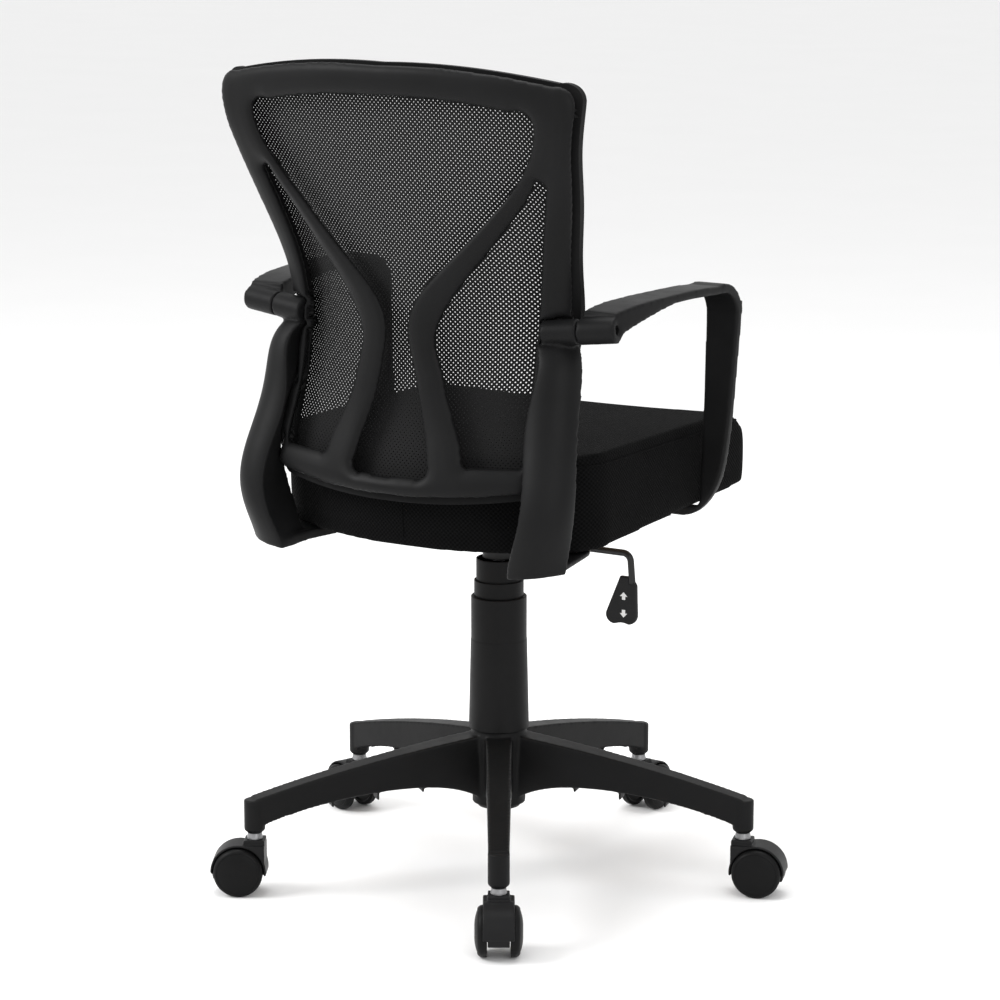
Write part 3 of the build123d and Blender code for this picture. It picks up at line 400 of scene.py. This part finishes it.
def frame_moulding():
    """The ribbed back frame with chamfered edges and ridged ribs, over the CAD frame's own outline."""
    loops = rear_loops("back_frame")
    outer, holes = loops[0], loops[1:]
    depth = rear_surface(tree_of("back_frame"))
    points, constraints = [], []
    for loop in [outer, *holes]:
        ring = resample(loop, 0.0025)
        first = len(points)
        points += ring
        constraints += [(first + i, first + (i + 1) % len(ring)) for i in range(len(ring))]
    border = len(points)
    edge_tree = KDTree(border)
    for i, p in enumerate(points):
        edge_tree.insert((p[0], 0, p[1]), i)
    edge_tree.balance()
    low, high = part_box("back_frame")
    step = 0.0026
    rows = int((high.z - low.z) / step) + 1
    columns = int((high.x - low.x) / step) + 1
    for j in range(rows):
        for i in range(columns):
            x = low.x + (i + 0.5 * (j % 2)) * step
            z = low.z + j * step
            if edge_tree.find((x, 0, z))[2] < step * 0.6 or not inside((x, z), outer):
                continue
            if any(inside((x, z), h) for h in holes):
                continue
            points.append(Vector((x, z)))
    result = geometry.delaunay_2d_cdt(points, constraints, [], 0, 1e-6)
    flat, faces = result[0], result[2]
    outer_ring = [tuple(p) for p in outer]
    keep = []
    for f in faces:
        cx = sum(flat[i][0] for i in f) / len(f)
        cz = sum(flat[i][1] for i in f) / len(f)
        if inside((cx, cz), outer_ring) and not any(inside((cx, cz), h) for h in holes):
            keep.append(f)
    bm = bmesh.new()
    verts = {}
    for i in sorted({i for f in keep for i in f}):
        x, z = flat[i]
        away = edge_tree.find((x, 0, z))[2]
        y = depth(x, z)
        share = max(0.0, 1 - away / EDGE_REACH)
        drop = EDGE_DROP * share**1.6 + RIDGE_DROP * max(0.0, 1 - away / 0.016)
        verts[i] = bm.verts.new((x, y - drop, z))
    for f in keep:
        try:
            bm.faces.new([verts[i] for i in f])
        except ValueError:
            continue
    bm.normal_update()
    if sum(f.normal.y for f in bm.faces) < 0:
        bmesh.ops.reverse_faces(bm, faces=bm.faces)
    mesh = bpy.data.meshes.new("back_frame_moulding")
    bm.to_mesh(mesh)
    bm.free()
    obj = new_object("back_frame_moulding", mesh, "back_frame")
    thick = obj.modifiers.new("thick", "SOLIDIFY")
    thick.thickness = 0.0125
    thick.offset = -1
    ease = obj.modifiers.new("ease", "SMOOTH")
    ease.factor = 0.4
    ease.iterations = 3
    bpy.context.view_layer.update()
    apply_modifiers(obj)
    smooth(obj)
    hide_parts("back_frame")


frame_moulding()


# ---------------------------------------------------------------- back mesh
PITCH = 0.0054          # between the holes of one row
STRAND = 0.00112        # half the yarn left between holes
HEM = 0.009


def hits(tree):
    def surface(x, z):
        hit = tree.ray_cast(Vector((x, 1.0, z)), Vector((0, -1, 0)))
        return hit[0]

    return surface


def mesh_outline(surface, centre, count, margin):
    """Points (x, z) round the mesh's edge, drawn in by margin."""
    ring = []
    for i in range(count):
        a = 2 * pi * i / count
        near, far = 0.0, 0.45
        for _ in range(22):
            middle = (near + far) / 2
            if surface(centre[0] + middle * cos(a), centre[1] + middle * sin(a)) is None:
                far = middle
            else:
                near = middle
        ring.append(Vector((centre[0] + near * cos(a), centre[1] + near * sin(a))))
    if not margin:
        return ring
    moved = []
    for i, p in enumerate(ring):
        along = (ring[(i + 1) % count] - ring[i - 1]).normalized()
        moved.append(p + Vector((-along.y, along.x)) * margin)
    return moved


def knitted_back():
    """The stretched mesh with its real holes, in staggered rows."""
    surface = hits(tree_of("back_mesh"))
    low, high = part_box("back_mesh")
    centre = ((low.x + high.x) / 2, (low.z + high.z) / 2)
    limit = [tuple(p) for p in mesh_outline(surface, centre, 360, HEM * 0.5)]
    bm = bmesh.new()
    grid = {}
    half = PITCH / 2

    def corner(i, j):
        if (i, j) not in grid:
            x = centre[0] + i * half
            z = centre[1] + j * half
            spot = surface(x, z) if inside((x, z), limit) else None
            grid[i, j] = bm.verts.new((spot.x, spot.y - 0.0008, spot.z)) if spot else None
        return grid[i, j]

    reach_x = int((high.x - low.x) / PITCH) + 2
    reach_z = int((high.z - low.z) / PITCH) + 2
    cells = []
    for i in range(-reach_x, reach_x + 1):
        for j in range(-reach_z, reach_z + 1):
            if (i + j) % 2:
                continue
            corners = [corner(i + 1, j), corner(i, j + 1), corner(i - 1, j), corner(i, j - 1)]
            if all(corners):
                cells.append(bm.faces.new(corners))
    bm.normal_update()
    bmesh.ops.inset_individual(bm, faces=cells, thickness=STRAND, use_even_offset=True)
    bmesh.ops.delete(bm, geom=cells, context="FACES_ONLY")
    mesh = bpy.data.meshes.new("back_mesh_knit")
    bm.to_mesh(mesh)
    bm.free()
    obj = new_object("back_mesh_knit", mesh, "back_mesh")
    round_holes = obj.modifiers.new("round", "SUBSURF")
    round_holes.levels = 1
    round_holes.render_levels = 1
    thick = obj.modifiers.new("thick", "SOLIDIFY")
    thick.thickness = 0.0006
    thick.offset = 0
    bpy.context.view_layer.update()
    apply_modifiers(obj)
    smooth(obj)
    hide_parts("back_mesh")
    return obj, surface, centre


knit, mesh_surface, mesh_centre = knitted_back()


def hem():
    """The doubled edge of the mesh, wrapped over its rim."""
    outer = mesh_outline(mesh_surface, mesh_centre, 360, 0.0006)
    inner = mesh_outline(mesh_surface, mesh_centre, 360, HEM)
    bm = bmesh.new()
    rings = []
    for ring in (outer, inner):
        row = []
        for p in ring:
            spot = mesh_surface(p[0], p[1]) or mesh_surface(p[0] * 0.995, mesh_centre[1] + (p[1] - mesh_centre[1]) * 0.995)
            row.append(bm.verts.new((p[0], spot.y - 0.0008, p[1])))
        rings.append(row)
    for i in range(len(outer)):
        j = (i + 1) % len(outer)
        bm.faces.new([rings[0][i], rings[0][j], rings[1][j], rings[1][i]])
    mesh = bpy.data.meshes.new("back_mesh_hem")
    bm.to_mesh(mesh)
    bm.free()
    obj = new_object("back_mesh_hem", mesh, "back_mesh")
    thick = obj.modifiers.new("thick", "SOLIDIFY")
    thick.thickness = 0.0016
    thick.offset = 0
    bpy.context.view_layer.update()
    apply_modifiers(obj)
    smooth(obj)
    return obj


knit_hem = hem()


# ---------------------------------------------------------------- seat
def cushion():
    """The upholstered seat: the CAD cushion with eased edges and a slight crown between its seams."""
    low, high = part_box("seat_cushion")
    obj = new_object("seat_upholstery", nodes["seat_cushion"].data.copy(), "seat_cushion")
    remesh = obj.modifiers.new("remesh", "REMESH")
    remesh.mode = "VOXEL"
    remesh.voxel_size = 0.004
    ease = obj.modifiers.new("ease", "SMOOTH")
    ease.factor = 0.5
    ease.iterations = 10
    bpy.context.view_layer.update()
    apply_modifiers(obj)
    mesh = obj.data
    middle = (low + high) / 2
    for v in mesh.vertices:
        n = v.normal
        if n.z < 0.5 and v.co.z > low.z + 0.02:
            rise = (v.co.z - (high.z - 0.055)) / 0.045
            v.co += Vector((n.x, n.y, 0)) * 0.0022 * max(0.0, 1 - rise * rise)
    smooth(obj)
    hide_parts("seat_cushion")
    return obj


seat = cushion()


def seam(name, points, body, radius=0.0012, cyclic=False, material="seat_fabric", node="seat_cushion"):
    """A raised line of stitching along points."""
    curve = bpy.data.curves.new(name, "CURVE")
    curve.dimensions = "3D"
    curve.bevel_depth = radius
    curve.bevel_resolution = 3
    spline = curve.splines.new("POLY")
    spline.points.add(len(points) - 1)
    for p, co in zip(spline.points, points):
        p.co = (*co, 1)
    spline.use_cyclic_u = cyclic
    holder = bpy.data.objects.new(name, curve)
    bpy.context.scene.collection.objects.link(holder)
    bpy.context.view_layer.update()
    mesh = bpy.data.meshes.new_from_object(holder.evaluated_get(bpy.context.evaluated_depsgraph_get()))
    bpy.data.objects.remove(holder)
    obj = new_object(name, mesh, node)
    smooth(obj)
    return obj


seat_tree = BVHTree.FromObject(seat, bpy.context.evaluated_depsgraph_get())
seat_low, seat_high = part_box("seat_cushion")


def ring_on(tree, z, count=240):
    """Points where rays towards the seat's middle meet it at one height."""
    points = []
    for i in range(count):
        a = 2 * pi * i / count
        start = Vector((0.6 * cos(a), 0.6 * sin(a), z))
        hit = tree.ray_cast(start, Vector((-cos(a), -sin(a), 0)))
        if hit[0]:
            points.append(hit[0])
    return points


seam("seat_piping", ring_on(seat_tree, seat_high.z - 0.013), "seat", cyclic=True)
rear_seam = []
for k in range(16):
    z = seat_low.z + 0.012 + k * (seat_high.z - seat_low.z - 0.032) / 15
    hit = seat_tree.ray_cast(Vector((0, 0.6, z)), Vector((0, -1, 0)))
    if hit[0]:
        rear_seam.append(hit[0])
seam("seat_rear_seam", rear_seam, "seat", radius=0.0009)


# ---------------------------------------------------------------- lever marks
def lever_marks():
    """Plain arrow marks on both faces of the lever's paddle."""
    low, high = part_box("lever_paddle")
    tree = tree_of("lever_paddle")
    mark = Tree("mark_paint")
    mark_paint = mark.finish(mark.mix(mark.noise(900.0), grey(0.55), grey(0.7)), 0.6)
    centre_x = (low.x + high.x) / 2 - 0.004
    shapes = []
    for dz, up in ((0.030, 1), (0.018, -1)):
        z = low.z + dz
        shapes.append([(-0.0022, 0), (0.0022, 0), (0.0022, 0.004 * up), (0.005, 0.004 * up), (0, 0.009 * up), (-0.005, 0.004 * up), (-0.0022, 0.004 * up)])
        shapes[-1] = [(centre_x + x, z + h) for x, h in shapes[-1]]
    bm = bmesh.new()
    for side in (1, -1):
        for outline in shapes:
            verts = []
            for x, z in outline:
                hit = tree.ray_cast(Vector((x, 0.2 * side, z)), Vector((0, -side, 0)))
                if hit[0]:
                    verts.append(bm.verts.new(hit[0] + Vector((0, 0.00012 * side, 0))))
            if len(verts) == len(outline):
                bm.faces.new(verts)
    mesh = bpy.data.meshes.new("lever_marks")
    bm.to_mesh(mesh)
    bm.free()
    obj = bpy.data.objects.new("lever_marks", mesh)
    bpy.context.scene.collection.objects.link(obj)
    mesh.materials.append(mark_paint)
    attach(obj, "lever")


lever_marks()


# ---------------------------------------------------------------- studio
floor = bpy.data.meshes.new("studio_floor")
floor.from_pydata([(-30, -30, 0), (30, -30, 0), (30, 30, 0), (-30, 30, 0)], [], [(0, 1, 2, 3)])
floor_object = bpy.data.objects.new("studio_floor", floor)
bpy.context.scene.collection.objects.link(floor_object)
floor_shader = Tree("studio_floor")
floor.materials.append(floor_shader.finish(floor_shader.mix(floor_shader.noise(3.0), grey(0.86), grey(0.88)), 0.8, Specular_IOR_Level=0.1))

world = bpy.data.worlds.new("studio")
bpy.context.scene.world = world
world.use_nodes = True
world.node_tree.nodes["Background"].inputs[0].default_value = (1, 1, 1, 1)
world.node_tree.nodes["Background"].inputs[1].default_value = 1.0


def area_light(name, place, target, size, power):
    light = bpy.data.lights.new(name, "AREA")
    light.shape = "DISK"
    light.size = size
    light.energy = power
    obj = bpy.data.objects.new(name, light)
    bpy.context.scene.collection.objects.link(obj)
    obj.location = place
    obj.rotation_euler = (Vector(target) - Vector(place)).to_track_quat("-Z", "Y").to_euler()
    return obj


area_light("key", (2.0, 1.9, 2.3), (0, 0, 0.5), 1.6, 75)
area_light("fill", (-2.4, 1.6, 1.6), (0, 0, 0.5), 2.0, 22)
area_light("top", (0.2, -0.3, 3.2), (0, 0, 0.4), 2.4, 60)

camera = bpy.data.objects.new("camera", bpy.data.cameras.new("camera"))
bpy.context.scene.collection.objects.link(camera)
camera.location = (-2.085, 3.385, 1.271)
camera.rotation_euler = (radians(78.31), 0, radians(211.63))
camera.data.lens = 125.2
camera.data.sensor_width = 36
camera.data.shift_x = 0.001
camera.data.dof.use_dof = False
bpy.context.scene.camera = camera
bpy.context.scene.view_settings.view_transform = "Standard"
bpy.context.scene.view_settings.look = "None"
